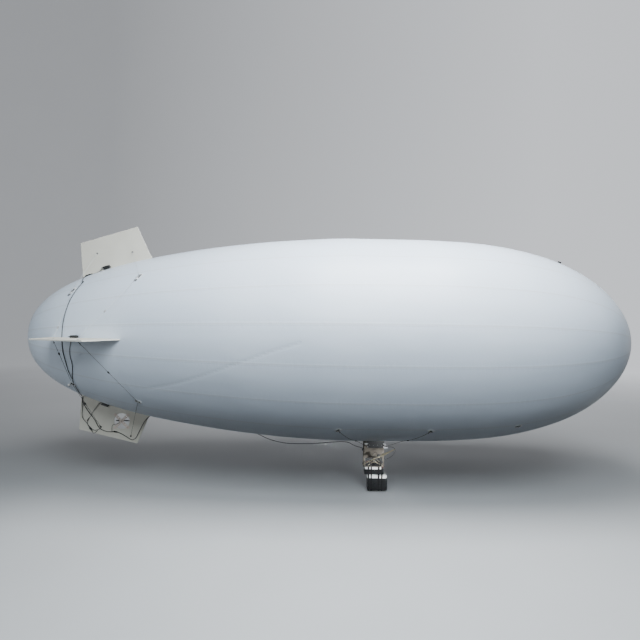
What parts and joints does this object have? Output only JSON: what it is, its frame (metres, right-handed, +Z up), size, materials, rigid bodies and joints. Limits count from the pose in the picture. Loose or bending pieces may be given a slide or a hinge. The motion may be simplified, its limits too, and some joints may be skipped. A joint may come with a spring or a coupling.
{
  "type": "advertising blimp balloon",
  "caption": "Helium blimp with a smooth white envelope, guyed foam tail fins, a tail fan and a belly gondola with tilting thrusters.",
  "frame": {"origin": "on the envelope's axis at half its length, where the air holds it", "axes": "+X along the axis to the nose, +Z up, +Y to port"},
  "size_m": [4.5143, 1.686, 1.989],
  "materials": {
    "skin": "satin welded film, bluish white",
    "fin_foam": "cream faced foam board with pale cut edges",
    "plywood": "thin grey-brown plywood",
    "cream_plastic": "moulded cream plastic",
    "black_plastic": "satin black moulding",
    "battery_wrap": "black shrink wrap",
    "spacer_foam": "white packing foam",
    "carbon": "black carbon tube",
    "motor_metal": "grey anodised motor can",
    "cord": "thin braided black cord",
    "cable": "black insulated lead",
    "patch": "welded film patch"
  },
  "bodies": {
    "hull": {"envelope": "skin", "fill_valve": "black_plastic", "fill_cap": "black_plastic", "fin_top": "fin_foam", "fin_starboard": "fin_foam", "fin_bottom": "fin_foam", "fin_port": "fin_foam", "fin_module_top": "black_plastic", "fin_module_starboard": "black_plastic", "fin_module_bottom": "black_plastic", "fin_module_port": "black_plastic", "fan_mount": "cream_plastic", "fan_motor": "motor_metal", "patch_front_port": "patch", "patch_front_starboard": "patch", "patch_rear_port": "patch", "patch_rear_starboard": "patch", "patch_upper_front_port": "patch", "patch_upper_front_starboard": "patch", "patch_upper_rear_port": "patch", "patch_upper_rear_starboard": "patch", "patch_gondola_front_port": "patch", "patch_gondola_front_starboard": "patch", "patch_gondola_rear_port": "patch", "patch_gondola_rear_starboard": "patch", "stay_front_port": "cord", "stay_front_starboard": "cord", "stay_rear_port": "cord", "stay_rear_starboard": "cord", "stay_upper_front_port": "cord", "stay_upper_front_starboard": "cord", "stay_upper_rear_port": "cord", "stay_upper_rear_starboard": "cord", "hanger_line_front_port": "cord", "hanger_line_front_starboard": "cord", "hanger_line_rear_port": "cord", "hanger_line_rear_starboard": "cord", "tail_lead_upper": "cable", "tail_lead_lower": "cable", "belly_lead": "cable", "belly_pad": "black_plastic", "gondola_hanger": "black_plastic", "gondola_plate_port": "plywood", "gondola_plate_starboard": "plywood", "battery_tray": "plywood", "spacer_upper": "spacer_foam", "battery_upper": "battery_wrap", "spacer_lower": "spacer_foam", "battery_lower": "battery_wrap", "receiver": "black_plastic", "speed_controller_starboard": "battery_wrap", "speed_controller_port": "battery_wrap", "tilt_servo": "black_plastic"},
    "thruster_tilt": {"tilt_shaft": "carbon", "thrust_motor_port": "motor_metal", "thrust_motor_starboard": "motor_metal"},
    "rotor_starboard": {"thrust_rotor_starboard": "cream_plastic"},
    "rotor_port": {"thrust_rotor_port": "cream_plastic"},
    "servo_drive": {"servo_gear": "cream_plastic"},
    "tail_rotor": {"fan_rotor": "black_plastic"}
  },
  "joints": [
    {"name": "thruster_tilt", "type": "hinge", "parent": "hull", "child": "thruster_tilt", "pos_m": [0.39, 0, -0.88], "axis": [0, 1, 0], "range_deg": [-153.4, 26.6]},
    {"name": "servo_turn", "type": "hinge", "parent": "hull", "child": "servo_drive", "pos_m": [0.3615, 0, -0.88], "axis": [0, 1, 0], "range_deg": [-36, 205]},
    {"name": "rotor_spin_starboard", "type": "hinge", "parent": "thruster_tilt", "child": "rotor_starboard", "pos_m": [0.39, -0.2, -0.88], "axis": [-0.4478, 0, 0.8942], "continuous": true},
    {"name": "rotor_spin_port", "type": "hinge", "parent": "thruster_tilt", "child": "rotor_port", "pos_m": [0.39, 0.2, -0.88], "axis": [-0.4478, 0, 0.8942], "continuous": true},
    {"name": "tail_rotor_spin", "type": "hinge", "parent": "hull", "child": "tail_rotor", "pos_m": [-1.588, 0.016, -0.656], "axis": [0, 1, 0], "continuous": true}
  ],
  "couplings": [
    {"joint": "servo_turn", "follows": "thruster_tilt", "ratio": -1.3333}
  ]
}
